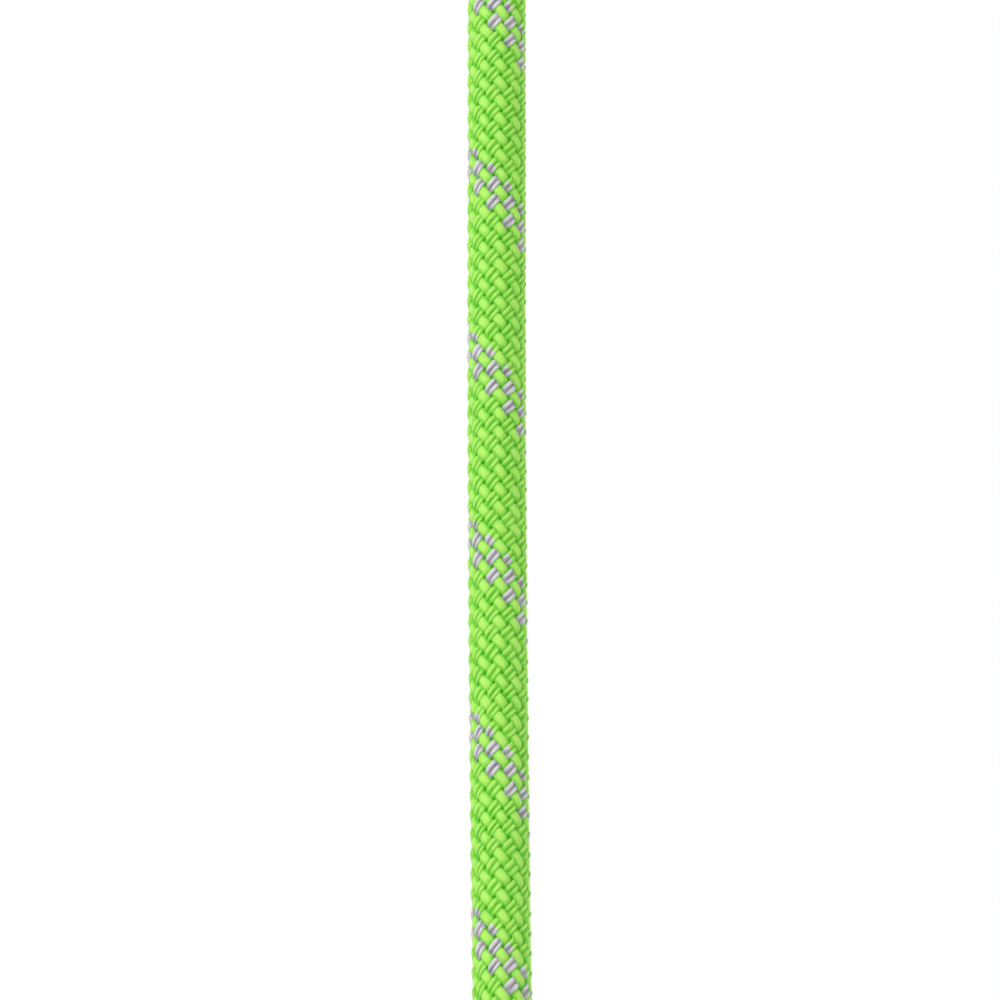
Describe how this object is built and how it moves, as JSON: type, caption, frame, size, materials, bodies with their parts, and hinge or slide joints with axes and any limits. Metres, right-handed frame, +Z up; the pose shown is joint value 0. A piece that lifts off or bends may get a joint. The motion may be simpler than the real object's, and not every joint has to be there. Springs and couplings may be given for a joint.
{
  "type": "dynamic climbing rope",
  "caption": "Kernmantle climbing rope in lime green with a pale tracer, tied as a hank that hangs by its eye, with one end hanging free below.",
  "frame": {"origin": "inside of the hank's top eye, where a peg carries it", "axes": "+Z up along the hank, +Y from the front of the hank to its back, +X to the right seen from the front"},
  "size_m": [0.2062, 0.1117, 0.9219],
  "materials": {
    "sheath": "woven",
    "core": "twisted yarn",
    "sleeve": "satin",
    "melted_tip": "melted"
  },
  "bodies": {
    "root": {"hank_inner_turns": "sheath", "hank_outer_turns": "sheath", "waist_wraps": "sheath", "tucked_end": "sheath", "hanging_end_sheath": "sheath", "core_strand_1": "core", "core_strand_2": "core", "core_strand_3": "core", "core_strand_4": "core", "core_strand_5": "core", "core_strand_6": "core", "core_strand_7": "core", "core_strand_8": "core", "core_strand_9": "core", "core_strand_10": "core", "core_strand_11": "core", "core_strand_12": "core", "hanging_end_sleeve": "sleeve", "hanging_end_tip": "melted_tip", "tucked_end_sleeve": "sleeve", "tucked_end_tip": "melted_tip"}
  },
  "joints": []
}
